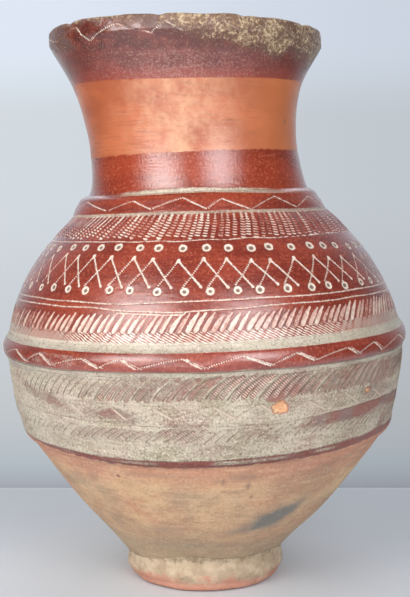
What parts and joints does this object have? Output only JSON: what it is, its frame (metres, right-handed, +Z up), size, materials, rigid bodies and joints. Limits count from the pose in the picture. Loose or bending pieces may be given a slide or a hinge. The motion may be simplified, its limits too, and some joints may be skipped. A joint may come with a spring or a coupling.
{
  "type": "earthenware water jar",
  "caption": "Coil-built round-bellied earthenware jar with a flared, slightly leaning neck, laid-on cordons and a ring foot, for storing water or grain.",
  "frame": {"origin": "middle of the foot ring's resting face", "axes": "+Z up along the jar's axis; -Y is the pictured side; the neck leans towards -X"},
  "size_m": [0.3585, 0.359, 0.48],
  "materials": {
    "foot_clay": "bare buff earthenware, worn, with cream and grey patches",
    "bare_clay": "bare wiped earthenware with fire clouds",
    "chalky_clay": "worn slip under a chalky crust",
    "red_slip": "burnished red slip with white-filled incised pattern",
    "orange_slip": "burnished orange clay",
    "dark_slip": "burnished dark red slip with an olive crust on the lip"
  },
  "bodies": {
    "root": {"foot_ring": "foot_clay", "base_bowl": "bare_clay", "lower_wall_coil": "bare_clay", "belly_lower_coil": "chalky_clay", "belly_upper_coil": "chalky_clay", "shoulder_lower_coil": "red_slip", "shoulder_middle_coil": "red_slip", "shoulder_upper_coil": "red_slip", "neck_lower_coil": "red_slip", "neck_middle_coil": "orange_slip", "neck_flare_coil": "dark_slip", "rim_coil": "dark_slip", "lower_cordon": "chalky_clay", "belly_cordon": "red_slip", "collar_cordon": "red_slip"}
  },
  "joints": []
}
